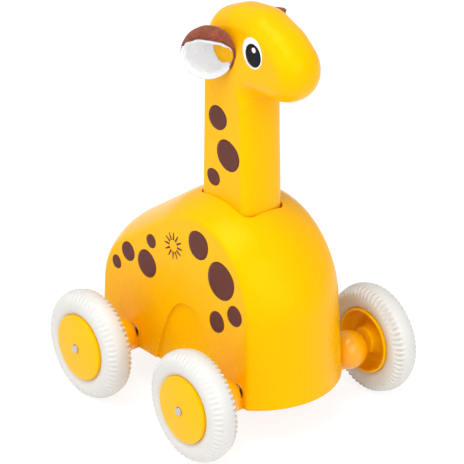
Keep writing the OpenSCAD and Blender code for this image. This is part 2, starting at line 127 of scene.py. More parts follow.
def cutAway(obj, cutterBm):
    tidyNormals(cutterBm)
    cutter = looseObject("cutter", cutterBm)
    cut = obj.modifiers.new("cut", "BOOLEAN")
    cut.operation, cut.solver, cut.object = "DIFFERENCE", "EXACT", cutter
    shaped = obj.evaluated_get(bpy.context.evaluated_depsgraph_get())
    mesh = bpy.data.meshes.new_from_object(shaped)
    obj.modifiers.clear()
    old, obj.data = obj.data, mesh
    bpy.data.meshes.remove(old)
    dropObject(cutter)


def editMesh(obj, work):
    bm = bmesh.new()
    bm.from_mesh(obj.data)
    work(bm)
    bm.to_mesh(obj.data)
    bm.free()


def bevelEdges(bm, edges, width, segments=3):
    bmesh.ops.bevel(bm, geom=edges, offset=width, offset_type="OFFSET", affect="EDGES", segments=segments,
                    profile=0.5, material=-1, clamp_overlap=False)


def finishPiece(obj, body, materials, nodes=(), sharp=32, even=True):
    mesh = obj.data
    mesh.transform(Matrix.Scale(mm, 4))
    mesh.materials.clear()
    for material in materials:
        mesh.materials.append(material)
    mesh.shade_smooth()
    mesh.set_sharp_from_angle(angle=radians(sharp))
    if even:
        weigh = obj.modifiers.new("evenNormals", "WEIGHTED_NORMAL")
        weigh.keep_sharp = True
    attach(obj, body)
    if nodes:
        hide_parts(*nodes)
    print("made", obj.name, len(mesh.polygons), "faces")


def openChain(bm, points):
    verts = [bm.verts.new(p) for p in points]
    edges = [bm.edges.new(pair) for pair in zip(verts, verts[1:])]
    return verts, edges


def extrudeChain(bm, verts, edges, points, ring=False):
    # pushes a chain or ring of edges on to its next place, and gives the new one in the same order
    made = set(bmesh.ops.extrude_edge_only(bm, edges=edges)["geom"])
    ahead = []
    for vert, point in zip(verts, points):
        other = next(e.other_vert(vert) for e in vert.link_edges if e.other_vert(vert) in made)
        other.co = point
        ahead.append(other)
    return ahead, [bm.edges.get(pair) for pair in zip(ahead, ahead[1:] + ahead[:1] * ring)]


def loftAcross(rows):
    # a closed solid over open chains that run from front to back, one after the other across the width
    bm = bmesh.new()
    verts, edges = openChain(bm, rows[0])
    chains = [verts]
    for row in rows[1:]:
        verts, edges = extrudeChain(bm, verts, edges, row)
        chains.append(verts)
    bm.faces.new(chains[0])
    bm.faces.new(chains[-1])
    bm.faces.new([c[0] for c in chains] + [c[-1] for c in reversed(chains)])
    bmesh.ops.recalc_face_normals(bm, faces=bm.faces)
    return bm


def prism(points, low, high, axis="y"):
    # a polygon in the side plane, pushed from one Y to another, or in plan, pushed up
    lay = (lambda p, h: (p[0], h, p[1])) if axis == "y" else (lambda p, h: (p[0], p[1], h))
    bm = bmesh.new()
    face = bm.faces.new([bm.verts.new(lay(p, low)) for p in points])
    made = bmesh.ops.extrude_face_region(bm, geom=[face])["geom"]
    lift = lay((0, 0), high - low)
    bmesh.ops.translate(bm, vec=lift, verts=[v for v in made if isinstance(v, bmesh.types.BMVert)])
    bmesh.ops.recalc_face_normals(bm, faces=bm.faces)
    return bm


def spinProfile(points, centre, steps, closed):
    # points are (radius, y); the axle runs along Y through the centre
    bm = bmesh.new()
    verts, edges = openChain(bm, [(centre[0] + r, y, centre[1]) for r, y in points])
    if closed:
        edges.append(bm.edges.new((verts[-1], verts[0])))
    bmesh.ops.spin(bm, geom=verts + edges, cent=(centre[0], 0, centre[1]), axis=(0, 1, 0), angle=tau,
                   steps=steps, use_merge=True)
    tidyNormals(bm)
    return bm


def arcPoints(centre, radius, start, end, count):
    turns = [radians(start + (end - start) * i / count) for i in range(count + 1)]
    return [(centre[0] + radius * cos(t), centre[1] + radius * sin(t)) for t in turns]


# material helpers

def fromSrgb(red, green, blue):
    line = [c / 255 for c in (red, green, blue)]
    return tuple(c / 12.92 if c <= 0.04045 else ((c + 0.055) / 1.055) ** 2.4 for c in line) + (1.0,)


def shaded(colour, amount):
    return tuple(min(1.0, c * amount) for c in colour[:3]) + (1.0,)


class Finish:
    # one node material: a colour that varies, a roughness that varies and a bump made of layers

    def __init__(self, name, **sockets):
        self.material = bpy.data.materials.new(name)
        self.material.use_nodes = True
        self.nodes = self.material.node_tree.nodes
        self.links = self.material.node_tree.links
        self.shader = self.nodes["Principled BSDF"]
        self.place = self.nodes.new("ShaderNodeTexCoord").outputs["Object"]
        for socket, value in sockets.items():
            self.shader.inputs[socket.replace("_", " ")].default_value = value

    def noise(self, scale, detail=3.0, rough=0.55, stretch=None, warp=0.0):
        node = self.nodes.new("ShaderNodeTexNoise")
        node.inputs["Scale"].default_value = scale
        node.inputs["Detail"].default_value = detail
        node.inputs["Roughness"].default_value = rough
        node.inputs["Distortion"].default_value = warp
        self.links.new(self.stretched(stretch), node.inputs["Vector"])
        return node.outputs["Fac"]

    def stretched(self, stretch):
        if stretch is None:
            return self.place
        node = self.nodes.new("ShaderNodeMapping")
        node.inputs["Scale"].default_value = stretch
        self.links.new(self.place, node.inputs["Vector"])
        return node.outputs["Vector"]

    def ranged(self, value, low, high, start=0.3, end=0.7):
        node = self.nodes.new("ShaderNodeMapRange")
        node.inputs["From Min"].default_value, node.inputs["From Max"].default_value = start, end
        node.inputs["To Min"].default_value, node.inputs["To Max"].default_value = low, high
        self.links.new(value, node.inputs["Value"])
        return node.outputs["Result"]

    def mixed(self, factor, first, second):
        node = self.nodes.new("ShaderNodeMix")
        node.data_type = "RGBA"
        self.links.new(factor, node.inputs["Factor"])
        for socket, colour in (("A", first), ("B", second)):
            target = next(s for s in node.inputs if s.name == socket and s.type == "RGBA")
            if isinstance(colour, tuple):
                target.default_value = colour
            else:
                self.links.new(colour, target)
        return next(s for s in node.outputs if s.type == "RGBA")

    def colour(self, output):
        self.links.new(output, self.shader.inputs["Base Color"])

    def tinted(self, value, colour, dark, light):
        # goes between a darker and a lighter shade of one colour
        self.colour(self.mixed(self.ranged(value, 0, 1), shaded(colour, dark), shaded(colour, light)))

    def roughness(self, output):
        self.links.new(output, self.shader.inputs["Roughness"])

    def bump(self, height, strength, distance):
        node = self.nodes.new("ShaderNodeBump")
        node.inputs["Strength"].default_value = strength
        node.inputs["Distance"].default_value = distance
        self.links.new(height, node.inputs["Height"])
        before = self.shader.inputs["Normal"].links
        if before:
            self.links.new(before[0].from_socket, node.inputs["Normal"])
        self.links.new(node.outputs["Normal"], self.shader.inputs["Normal"])


paintLook = {
    "colour": (255, 185, 0),
    "shades": (0.97, 1.02),
    "shine": 0.26,
    "shineTint": (1.0, 0.9, 0.1, 1.0),
    "rough": (0.24, 0.3),
}


def yellowPaint():
    finish = Finish("yellowPaint", Specular_IOR_Level=paintLook["shine"],
                    Specular_Tint=paintLook["shineTint"])
    finish.tinted(finish.noise(scale=24, detail=3), fromSrgb(*paintLook["colour"]), *paintLook["shades"])
    finish.roughness(finish.ranged(finish.noise(scale=120, detail=3), *paintLook["rough"]))
    grain = finish.noise(scale=60, detail=2, stretch=(0.2, 1, 1))   # the wood's, under the lacquer
    finish.bump(grain, strength=0.03, distance=0.0004)
    orangePeel = finish.noise(scale=500, detail=1)
    finish.bump(orangePeel, strength=0.02, distance=0.0002)
    return finish.material


def bareWood():
    finish = Finish("bareWood", IOR=1.45)
    streak = finish.noise(scale=220, detail=6, rough=0.6, stretch=(0.07, 1, 1), warp=0.4)
    finish.colour(finish.mixed(finish.ranged(streak, 0, 1), fromSrgb(214, 174, 122), fromSrgb(184, 138, 88)))
    finish.roughness(finish.ranged(streak, 0.6, 0.8))
    finish.bump(streak, strength=0.25, distance=0.0004)
    return finish.material


def printInk(name, colour, rough):
    finish = Finish(name, Specular_IOR_Level=0.12)
    finish.tinted(finish.noise(scale=300, detail=4), colour, dark=0.95, light=1.05)
    finish.roughness(finish.ranged(finish.noise(scale=240, detail=4), rough - 0.04, rough + 0.05))
    finish.bump(finish.noise(scale=900, detail=2), strength=0.03, distance=0.0001)
    return finish.material


def mouldedPlastic(name, colour, low, high, grain=0.03, **sockets):
    finish = Finish(name, **sockets)
    finish.tinted(finish.noise(scale=50, detail=3), colour, dark=0.97, light=1.02)
    finish.roughness(finish.ranged(finish.noise(scale=200, detail=3), low, high))
    finish.bump(finish.noise(scale=2200, detail=2), strength=grain, distance=0.0001)
    sinkMarks = finish.noise(scale=90, detail=1)
    finish.bump(sinkMarks, strength=0.02, distance=0.0003)
    return finish.material


rubberLook = {
    "colour": (219, 218, 214),
    "soft": 0.25,
    "softDepth": 0.004,
    "softColour": (1.0, 0.85, 0.7),
    "rough": (0.42, 0.56),
}


def tyreRubber():
    finish = Finish("whiteRubber", IOR=1.45, Subsurface_Weight=rubberLook["soft"],
                    Subsurface_Scale=rubberLook["softDepth"], Subsurface_Radius=rubberLook["softColour"])
    finish.tinted(finish.noise(scale=60, detail=5), fromSrgb(*rubberLook["colour"]), dark=0.96, light=1.0)
    finish.roughness(finish.ranged(finish.noise(scale=300, detail=4), *rubberLook["rough"]))
    finish.bump(finish.noise(scale=2200, detail=3), strength=0.08, distance=0.00015)
    return finish.material


def feltCloth(name, dark, light, tint, fleck):
    finish = Finish(name, IOR=1.4, Roughness=0.95, Sheen_Weight=0.35, Sheen_Roughness=0.5, Sheen_Tint=tint)
    fibre = finish.noise(scale=1700, detail=5, rough=0.6, warp=1.2)
    patch = finish.noise(scale=260, detail=5, rough=0.65, warp=0.8)
    mottle = finish.mixed(finish.ranged(patch, 0, 1), dark, light)
    flecks = finish.ranged(fibre, 0, fleck, start=0.42, end=0.62)
    finish.colour(finish.mixed(flecks, mottle, shaded(dark, 0.7)))
    finish.bump(patch, strength=0.5, distance=0.0006)
    finish.bump(fibre, strength=0.7, distance=0.0004)
    return finish.material


def brushedSteel(name, colour, low, high):
    finish = Finish(name, Metallic=1.0)
    scratch = finish.noise(scale=2600, detail=5, rough=0.6, stretch=(1, 0.06, 1))
    finish.tinted(scratch, colour, dark=0.9, light=1.05)
    finish.roughness(finish.ranged(finish.noise(scale=500, detail=4), low, high))
    finish.bump(scratch, strength=0.1, distance=0.0001)
    return finish.material


looks = {
    "paint": yellowPaint(),
    "wood": bareWood(),
    "spot": printInk("brownInk", fromSrgb(98, 51, 43), 0.34),
    "eyeWhite": printInk("whiteInk", fromSrgb(250, 250, 250), 0.34),
    "pupil": printInk("blackInk", fromSrgb(12, 9, 11), 0.3),
    "mustard": mouldedPlastic("mustardPlastic", fromSrgb(246, 168, 0), 0.17, 0.23),
    "hub": mouldedPlastic("hubPlastic", fromSrgb(255, 187, 0), 0.3, 0.38,
                          Specular_Tint=(1.0, 0.8, 0.05, 1.0)),
    "orange": mouldedPlastic("orangePlastic", fromSrgb(232, 122, 24), 0.34, 0.46),
    "white": mouldedPlastic("whitePlastic", fromSrgb(232, 230, 224), 0.36, 0.48),
    "rubber": tyreRubber(),
    "brownFelt": feltCloth("brownFelt", fromSrgb(112, 50, 31), fromSrgb(170, 88, 60),
                           tint=(0.75, 0.45, 0.35, 1), fleck=0.8),
    "whiteFelt": feltCloth("whiteFelt", fromSrgb(236, 240, 251), fromSrgb(247, 252, 255),
                           tint=(1, 1, 1, 1), fleck=0.25),
    "steel": brushedSteel("drawnSteel", fromSrgb(196, 196, 204), 0.24, 0.4),
}
print("finishes mixed:", len(looks))


# body

bodyShape = {
    # x, z and radius of the arcs that the outline runs round, at the sides and in the middle
    "sideArcs": ((9.0, 51.7, 33.5), (-23.0, 38.2, 27.1)),
    "midArcs": ((8.2, 50.5, 42.4), (19.8, 49.1, 33.5), (-20.35, 34.3, 40.0)),
    "bottom": 15.2,
    "halfWidth": 25.0,
    "lean": 0.034,
    "crownRound": 0.72,
    "edgeRound": 1.0,
    "edgeAngle": 20.0,
    "across": (0, 0.12, 0.25, 0.38, 0.5, 0.62, 0.72, 0.81, 0.88, 0.94, 1.0),
    "degrees": 2.5,
    "longStep": 3.0,
    "footSteps": 8,
}
reliefShape = {
    "middle": 5.0, "reach": 20.2, "height": 31.3, "power": 2.5, "depth": 1.5, "runOut": 0.3, "steps": 56,
    "edgeRound": 0.4, "roundTo": 22.0, "footTop": 20.0,
}
notchShape = {"places": (-30.0, 38.0), "half": 3.0, "middle": 21.5, "steps": 24, "edgeRound": 0.5}
pocketShape = {
    "outline": ((-41.1, 14), (-41.1, 49.6), (-20.5, 57.9), (-11.15, 73.7),
                (28.2, 73.7), (30, 45.6), (30, 14)),
    "half": 17.0,
    "recess": ((-47.4, -20), (43.8, -20), (43.8, 20), (-47.4, 20)),
    "recessBottom": 10.0,
    "recessTop": 18.2,
    "bare": {"rear": -41.2, "front": 30.1, "half": 17.05, "top": 73.75},
}
slotShape = {
    "rear": -5.15, "front": 25.85, "half": 10.18, "corner": 4.2, "bottom": 70.0, "top": 100.0, "step": 1.2,
    "lip": 0.4, "lipTurns": (20, 40, 58), "flare": 3.0, "flareTurns": (52, 40),
}
past = {"below": 13.0, "side": 30.0, "above": 200.0}   # clear of the body, for cutters and for looking down
closeTo = {"relief": 0.05, "side": 0.01, "notch": 0.02}   # how far off a point still counts as on it
sharpTurn = radians(30)


def bandPoint(arcs, turn):
    # where a taut band round these arcs has its outside facing this way
    x, z = cos(radians(turn)), sin(radians(turn))
    far = max(arcs, key=lambda arc: arc[0] * x + arc[1] * z + arc[2])
    return Vector((far[0] + far[2] * x, far[1] + far[2] * z))


def bodyOutlines():
    count = round(180 / bodyShape["degrees"])
    pairs = []
    for i in range(count + 1):
        turn = i * bodyShape["degrees"]
        pair = [bandPoint(bodyShape[arcs], turn) for arcs in ("sideArcs", "midArcs")]
        if pairs:   # the straight run between two arcs is filled with even steps
            start = pairs[-1]
            steps = max(1, round((pair[0] - start[0]).length / bodyShape["longStep"]))
            pairs += [[a.lerp(b, k / steps) for a, b in zip(start, pair)] for k in range(1, steps)]
        pairs.append(pair)
    return pairs


def sideY(z):
    return bodyShape["halfWidth"] - bodyShape["lean"] * (z - bodyShape["bottom"])


def bodyRows():
    def chord(u):
        return sqrt(1 - (u * bodyShape["crownRound"]) ** 2)

    def crown(u):
        return (chord(u) - chord(1)) / (1 - chord(1))

    pairs = bodyOutlines()
    bottom, lean = bodyShape["bottom"], bodyShape["lean"]
    halves = bodyShape["across"]
    rows = []
    for u in [-h for h in reversed(halves[1:])] + list(halves):
        row = []
        for side, mid in pairs:
            p = side.lerp(mid, crown(u))
            row.append(Vector((p[0], u * sideY(side[1]), p[1])))
        ends = []
        for p, way in ((row[0], 1), (row[-1], -1)):
            foot = Vector((p[0] + way * lean * (p[2] - bottom), u * sideY(bottom), bottom))
            steps = bodyShape["footSteps"]
            ends.append([foot.lerp(p, k / steps) for k in range(steps)])
        rows.append(ends[0] + row + ends[1][::-1])
    return rows


def reliefCutter(way):
    steps = reliefShape["steps"]
    outline = []
    for i in range(steps + 1):
        t = -1 + 2 * i / steps
        outline.append((reliefShape["middle"] + reliefShape["reach"] * t,
                        bodyShape["bottom"] + reliefShape["height"] * (1 - abs(t) ** reliefShape["power"])))
    outline = [(outline[0][0], past["below"])] + outline + [(outline[-1][0], past["below"])]
    bm = prism(outline, 0, past["side"] * way)
    front = reliefShape["middle"] + reliefShape["reach"] - reliefShape["runOut"]
    for v in bm.verts:
        if abs(v.co.y) < 1:   # the floor of the relief rises to nothing at its front end
            depth = reliefShape["depth"] * (front - v.co.x) / (2 * reliefShape["reach"])
            v.co.y = way * (sideY(v.co.z) - depth)
    return bm


def onRelief(p):
    t = (p.x - reliefShape["middle"]) / reliefShape["reach"]
    rise = bodyShape["bottom"] + reliefShape["height"] * (1 - min(1, abs(t)) ** reliefShape["power"])
    atFoot = abs(t) > 0.999 and p.z < reliefShape["footTop"]
    return abs(p.z - rise) < closeTo["relief"] or atFoot


def onSide(p):
    return abs(abs(p.y) - sideY(p.z)) < closeTo["side"]


def roundReliefEdges(bm):
    def onRounded(p):   # at its front end the relief is too shallow to round
        return onSide(p) and onRelief(p) and p.x < reliefShape["roundTo"]

    edges = [e for e in bm.edges if all(onRounded(v.co) for v in e.verts)
             and e.calc_face_angle(0) > sharpTurn]
    bevelEdges(bm, edges, reliefShape["edgeRound"])


def notchCutter(x):
    half, middle = notchShape["half"], notchShape["middle"]
    arch = arcPoints((x, middle), half, 0, 180, notchShape["steps"])
    outline = [(x + half, past["below"])] + arch + [(x - half, past["below"])]
    return prism(outline, -past["side"], past["side"])


def roundNotchEdges(bm):
    half = notchShape["half"]

    def onNotch(p):
        for x in notchShape["places"]:
            if p.z > notchShape["middle"]:
                if abs(Vector((p.x - x, p.z - notchShape["middle"])).length - half) < closeTo["notch"]:
                    return True
            elif abs(abs(p.x - x) - half) < closeTo["notch"]:
                return True
        return False

    edges = [e for e in bm.edges if all(onSide(v.co) and onNotch(v.co) for v in e.verts)
             and e.calc_face_angle(0) > sharpTurn]
    bevelEdges(bm, edges, notchShape["edgeRound"])


def roundedBox(rear, front, half, corner, count=7):
    points = []
    for x, y, start in ((front - corner, half - corner, 0), (rear + corner, half - corner, 90),
                        (rear + corner, corner - half, 180), (front - corner, corner - half, 270)):
        points += arcPoints((x, y), corner, start, start + 90, count)
    return points


def slotCutter(skin):
    # the walls follow the crown's height, so that the lip is rounded evenly all the way round
    grow, flare, flareTurns = (slotShape[k] for k in ("lip", "flare", "flareTurns"))
    plain = roundedBox(slotShape["rear"], slotShape["front"], slotShape["half"], slotShape["corner"])
    dense = []
    for a, b in zip(plain, plain[1:] + plain[:1]):
        steps = max(1, round(Vector((b[0] - a[0], b[1] - a[1])).length / slotShape["step"]))
        dense += [(a[0] + (b[0] - a[0]) * k / steps, a[1] + (b[1] - a[1]) * k / steps) for k in range(steps)]
    down = Vector((0, 0, -1))
    heights = [skin.ray_cast(Vector((x, y, past["above"])), down)[0].z for x, y in dense]
    outward = []
    count = len(dense)
    for i in range(count):
        along = Vector(dense[(i + 1) % count]) - Vector(dense[i - 1])
        outward.append(Vector((along.y, -along.x)).normalized())
    levels = [(0, -grow)]
    levels += [(grow * (1 - cos(radians(t))), grow * (sin(radians(t)) - 1)) for t in slotShape["lipTurns"]]
    levels.append((levels[-1][0] + flare * cos(radians(flareTurns[0])), flare * sin(radians(flareTurns[1]))))
    levels.append(levels[-1])
    bm = bmesh.new()
    verts = [bm.verts.new((x, y, slotShape["bottom"])) for x, y in dense]
    edges = list(bm.faces.new(verts).edges)
    for out, up in levels:
        points = [(x + n.x * out, y + n.y * out, z + up) for (x, y), n, z in zip(dense, outward, heights)]
        verts, edges = extrudeChain(bm, verts, edges, points, ring=True)
    for v in verts:   # the top is flat, and clear of the crown
        v.co.z = slotShape["top"]
    bm.faces.new(verts)
    return bm


def makeBody():
    bm = loftAcross(bodyRows())
    rim = [e for e in bm.edges if e.calc_face_angle(0) > radians(bodyShape["edgeAngle"])]
    bevelEdges(bm, rim, bodyShape["edgeRound"], segments=4)
    bmesh.ops.recalc_face_normals(bm, faces=bm.faces)
    skin = BVHTree.FromBMesh(bm)
    obj = looseObject("body_paint", bm)
    for way in (-1, 1):
        cutAway(obj, reliefCutter(way))
    for x in notchShape["places"]:
        cutAway(obj, notchCutter(x))
    cutAway(obj, slotCutter(skin))
    cutAway(obj, prism(pocketShape["recess"], pocketShape["recessBottom"], pocketShape["recessTop"], "z"))
    cutAway(obj, prism(pocketShape["outline"], -pocketShape["half"], pocketShape["half"]))
    editMesh(obj, roundReliefEdges)
    editMesh(obj, roundNotchEdges)
    bare = pocketShape["bare"]
    for face in obj.data.polygons:   # inside the pocket the wood has no paint on it
        x, y, z = face.center
        inside = abs(y) < bare["half"] and bare["rear"] < x < bare["front"] and z < bare["top"]
        face.material_index = 1 if inside else 0
    finishPiece(obj, "toy_body", [looks["paint"], looks["wood"]], ["body_shell"])


makeBody()


# neck and head

neckShape = {
    "rear": -4.0,
    "front": 24.6,
    "flare": 1.0,
    "bottom": 72.2,
    "half": 10.1,
    "crown": 9.6,
    "neckDepth": 4.2,
    "headDepth": 8.5,
    # x, z and radius of the discs that the head's outline runs round
    "discs": ((7.8, 152.4, 14.3), (9.7, 156.8, 13.9), (16.0, 158.9, 14.3), (23.4, 157.1, 16.8),
              (32.2, 155.5, 15.1), (38.0, 153.3, 13.1)),
    "jawTurn": -87.0,
    "chinRound": 2.5,
    "chinSwell": 2.0,
    "napeRound": 14.0,
    "napeFrom": 154.0,
    "flareUp": 14.0,
    "turnStep": 0.25,
    "keepEvery": 12,
    "roundSteps": 12,
    "steps": {"front": 24, "chin": 4, "hollow": 8, "jaw": 6, "nape": 6, "back": 26},
}


def wayOf(turn):
    return Vector((cos(radians(turn)), sin(radians(turn))))


def eased(value, low, high):
    t = min(1.0, max(0.0, (value - low) / (high - low)))
    return t * t * (3 - 2 * t)


def headPoints(first, last):
    # over the head from the jaw to the nape, with both ends of each straight run between two discs; behind
    # the ears the edge goes back to the neck's
    points, before, step = [], None, neckShape["turnStep"]
    for k in range(round((last - first) / step) + 1):
        turn = first + k * step
        face, swell = wayOf(turn), 1 - eased(turn, neckShape["napeFrom"], last)
        near = neckShape["discs"] if turn > 0 else neckShape["discs"][-1:]   # only the jaw below the snout
        disc = max(near, key=lambda d: d[0] * face.x + d[1] * face.y + d[2])
        if before and disc != before:
            points.append((Vector(before[:2]) + face * before[2], face, swell))
        if k % neckShape["keepEvery"] == 0 or disc != (before or disc):
            points.append((Vector(disc[:2]) + face * disc[2], face, swell))
        before = disc
    return points


def neckOutline():
    # from the bottom at the front, over the head, to the bottom at the rear: a point, the way its outside
    # faces, and how far its edge has swelled from the neck's to the head's
    skull, snout = Vector(neckShape["discs"][0]), Vector(neckShape["discs"][-1])
    front, rear, bottom = (neckShape[k] for k in ("front", "rear", "bottom"))
    chin, chinSwell, nape = (neckShape[k] for k in ("chinRound", "chinSwell", "napeRound"))
    jaw, jawTurn = wayOf(neckShape["jawTurn"]), neckShape["jawTurn"]
    level = jaw.dot(snout.xy) + snout.z
    hollow = Vector((front + chin, (level + chin - jaw.x * (front + chin)) / jaw.y))
    lean = Vector((rear - nape - skull.x, -sqrt((skull.z + nape) ** 2 - (rear - nape - skull.x) ** 2)))
    back = skull.xy + lean
    napeTurn = degrees(atan2(lean.y, lean.x)) + 360
    low, high = hollow.y - chinSwell, hollow.y + chin
    steps, flareFrom = neckShape["steps"], bottom + neckShape["flareUp"]
    rise = [bottom + (low - bottom) * k / steps["front"] for k in range(steps["front"])]
    rise += [low + chinSwell * k / steps["chin"] for k in range(steps["chin"])]
    points = []
    for z in rise:
        flare = neckShape["flare"] * (1 - eased(z, flareFrom, hollow.y))
        points.append((Vector((front + flare, z)), Vector((1, 0)), eased(z, low, high)))
    for p in arcPoints(hollow, chin, 180, 180 + jawTurn, steps["hollow"]):
        points.append((Vector(p), (hollow - Vector(p)).normalized(), eased(p[1], low, high)))
    start, end = points[-1][0], snout.xy + jaw * snout.z
    points += [(start.lerp(end, k / steps["jaw"]), jaw, 1.0) for k in range(1, steps["jaw"])]
    points += headPoints(jawTurn, napeTurn)
    for p in arcPoints(back, nape, napeTurn - 180, 0, steps["nape"])[1:]:
        points.append((Vector(p), (back - Vector(p)).normalized(), 0.0))
    for k in range(1, steps["back"] + 1):
        z = back.y + (bottom - back.y) * k / steps["back"]
        flare = neckShape["flare"] * (1 - eased(z, flareFrom, back.y))
        points.append((Vector((rear - flare, z)), Vector((-1, 0)), 0.0))
    return points


def makeNeck():
    outline = neckOutline()
    steps, half, crown = (neckShape[k] for k in ("roundSteps", "half", "crown"))
    depth, more = neckShape["neckDepth"], neckShape["headDepth"] - neckShape["neckDepth"]
    rows = []
    for way in (-1, 1):
        turns = [radians(90 * k / steps) for k in range(steps + 1)]
        for turn in (reversed(turns) if way < 0 else turns):
            row = []
            for p, face, swell in outline:
                inset = (depth + more * swell) * (1 - cos(turn))
                row.append(Vector((p.x - face.x * inset, way * (half - crown + crown * sin(turn)),
                                   p.y - face.y * inset)))
            rows.append(row)
    bm = loftAcross(rows)
    skin = BVHTree.FromBMesh(bm)
    obj = looseObject("neck_paint", bm)
    finishPiece(obj, "neck", [looks["paint"]], ["neck_and_head"])
    return skin


neckSkin = makeNeck()


# prints: thin films of ink that follow the surface under them

printShape = {
    "lift": 0.05,
    "film": 0.03,
    "castFrom": 60.0,
    "discSides": 56,
    "discRings": 5,
    "ringStep": 0.16,
    "wobble": 0.025,
    "bodySpots": (   # x, z, half the width and half the height
        (-41.8, 48.8, 3.0, 2.9), (-34.2, 56.2, 4.15, 4.25), (-19.1, 66.2, 3.0, 3.05),
        (-21.6, 55.3, 6.15, 5.75), (11.2, 75.4, 6.4, 5.9), (25.85, 65.2, 8.4, 7.65),
        (24.0, 46.8, 4.6, 4.6), (34.8, 53.4, 4.45, 4.4)),
    "neckSpots": ((7.6, 125.5, 5.6, 5.1), (14.0, 111.4, 7.0, 6.4), (4.9, 99.3, 3.9, 3.7)),
    "burst": (-4.7, 69.4),
    "burstRays": 12,
    "burstInner": 2.5,
    "burstOuter": 5.7,
    "rayWide": 0.5,
    "rayNarrow": 0.24,
}
eyeShape = {   # x, z, half the width, half the height and the tilt
    "white": (28.75, 159.0, 5.8, 6.3, -12),
    "pupil": (29.35, 158.3, 4.6, 4.7, -14),
    "glint": (29.7, 160.6, 1.15, 1.05, -14),
}


def filmDisc(bm, x, z, halfX, halfZ, tilt=0.0, wobble=0.0, draw=None):
    before = set(bm.verts)
    rim = bmesh.ops.create_circle(bm, cap_ends=True, segments=printShape["discSides"], radius=1.0)["verts"]
    if wobble:
        phases = [draw.uniform(0, tau) for _ in range(3)]
        for v in rim:
            turn = Vector((1, 0)).angle_signed(v.co.xy)
            v.co *= 1 + sum(wobble / (k + 1) * cos((k + 2) * turn + phases[k]) for k in range(3))
    face = rim[0].link_faces[0]
    for _ in range(printShape["discRings"]):   # rings, so that the film can follow a curved surface
        bmesh.ops.inset_region(bm, faces=[face], thickness=printShape["ringStep"], use_even_offset=True,
                               use_boundary=True)
    upright = Matrix.Diagonal((halfX, 1, halfZ, 1)) @ Matrix.Rotation(pi / 2, 4, "X")
    turned = Matrix.Translation((x, 0, z)) @ Matrix.Rotation(radians(tilt), 4, "Y")
    bmesh.ops.transform(bm, matrix=turned @ upright, verts=[v for v in bm.verts if v not in before])


def filmRay(bm, turn, inner, outer, wide, narrow, centre):
    out, side = Vector((cos(turn), sin(turn))), Vector((-sin(turn), cos(turn)))
    corners = [(inner, -wide), (inner, wide), ((inner + outer) / 2, (wide + narrow) / 2), (outer, narrow),
               (outer, -narrow), ((inner + outer) / 2, -(wide + narrow) / 2)]
    flat = [Vector(centre) + out * r + side * w for r, w in corners]
    bm.faces.new([bm.verts.new((p.x, 0, p.y)) for p in flat])


def filmPiece(name, draw, skin, lift, body, material):
    # both sides of the toy carry the same print
    whole = bmesh.new()
    for way in (-1, 1):
        bm = bmesh.new()
        draw(bm)
        for v in bm.verts:
            start = Vector((v.co.x, printShape["castFrom"] * way, v.co.z))
            spot, normal, _, _ = skin.ray_cast(start, Vector((0, -way, 0)))
            v.co = spot + (normal if normal.y * way > 0 else -normal) * lift
        bm.normal_update()
        bmesh.ops.reverse_faces(bm, faces=[f for f in bm.faces if f.normal.y * way < 0])
        mesh = bpy.data.meshes.new("film")
        bm.to_mesh(mesh)
        bm.free()
        whole.from_mesh(mesh)
        bpy.data.meshes.remove(mesh)
    obj = looseObject(name, whole)
    finishPiece(obj, body, [material], even=False)
    thick = obj.modifiers.new("film", "SOLIDIFY")
    thick.thickness, thick.offset = (lift + printShape["film"]) * mm, -1.0


def drawSpots(bm, spots, seed):
    draw = Random(seed)
    for x, z, halfX, halfZ in spots:
        filmDisc(bm, x, z, halfX, halfZ, wobble=printShape["wobble"], draw=draw)


def drawBodySpots(bm):
    drawSpots(bm, printShape["bodySpots"], seed=5)
    for k in range(printShape["burstRays"]):
        filmRay(bm, tau * k / printShape["burstRays"], printShape["burstInner"], printShape["burstOuter"],
                printShape["rayWide"], printShape["rayNarrow"], printShape["burst"])


def drawNeckSpots(bm):
    drawSpots(bm, printShape["neckSpots"], seed=8)


def makePrints():
    bm = loftAcross(bodyRows())
    bodySkin = BVHTree.FromBMesh(bm)
    bm.free()
    lift = printShape["lift"]
    filmPiece("body_spots", drawBodySpots, bodySkin, lift, "toy_body", looks["spot"])
    filmPiece("neck_spots", drawNeckSpots, neckSkin, lift, "neck", looks["spot"])
    for k, (part, ink) in enumerate((("white", "eyeWhite"), ("pupil", "pupil"), ("glint", "eyeWhite"))):
        filmPiece("eye_" + part, lambda bm: filmDisc(bm, *eyeShape[part]), neckSkin, lift * (k + 1), "neck",
                  looks[ink])


makePrints()


# wheels

wheelShape = {"axles": {"rear": -30.0, "front": 38.0}, "height": 23.0, "middle": 46.8}
tyreShape = {
    "ringRadius": 17.34, "radial": 5.66, "half": 6.0, "bore": 13.87, "section": 44,
    "ribs": 60, "ribSteps": 8, "ribHeight": {"outer": 0.5, "inner": 1.35}, "ribFrom": 28, "ribTo": 66,
    "ribEnds": 0.6, "ribSink": 0.6,   # how softly a rib ends, and the share of it that is cut in
}
hubShape = {
    "radius": 13.85, "rim": 1.1, "half": 6.0, "web": 0.5, "edge": 6.5, "edgeRound": 0.6, "dome": 0.9,
    "domeSteps": 10, "bore": 1.8, "boss": 5.5, "bossEnd": -5.3, "bossStep": 0.8, "bossFlare": 4.0,
    "bossEdge": (0.4, 0.12), "spinSteps": 96,
}
axleShape = {
    "radius": 1.75, "straight": 40.0, "end": 55.0, "endFlat": 0.7, "round": 0.5, "roundDepth": 0.6,
    "spinSteps": 40,
}


def tyreSection():
    ring, radial, half, bore = (tyreShape[k] for k in ("ringRadius", "radial", "half", "bore"))
    first = pi - acos((ring - bore) / radial)   # where the round section runs into the bore
    count = tyreShape["section"]
    return [(ring + radial * cos(first - 2 * first * k / count), half * sin(first - 2 * first * k / count))
            for k in range(count + 1)]


